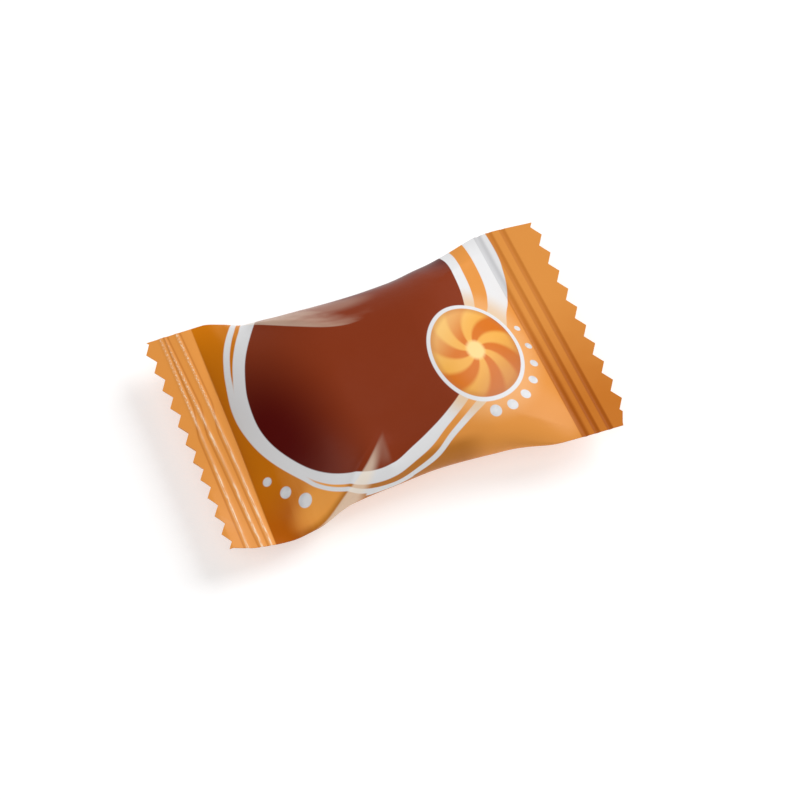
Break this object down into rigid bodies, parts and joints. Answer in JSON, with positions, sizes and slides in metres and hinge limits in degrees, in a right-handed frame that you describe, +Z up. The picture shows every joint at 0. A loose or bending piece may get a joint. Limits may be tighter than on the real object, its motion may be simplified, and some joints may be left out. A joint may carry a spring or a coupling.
{
  "type": "wrapped caramel candy",
  "caption": "Round caramel candy shut in a printed flow-wrap pillow pack, with ribbed, zigzag-cut seals at both ends and a fin seam down its back.",
  "frame": {"origin": "centre of the bounding box's base, on the surface that the pack rests on", "axes": "+X along the pack from one end seal to the other, +Y across it, +Z up out of the printed front"},
  "size_m": [0.0506, 0.031, 0.0109],
  "materials": {
    "film": "satin"
  },
  "bodies": {
    "root": {"wrapper": "film"}
  },
  "joints": []
}
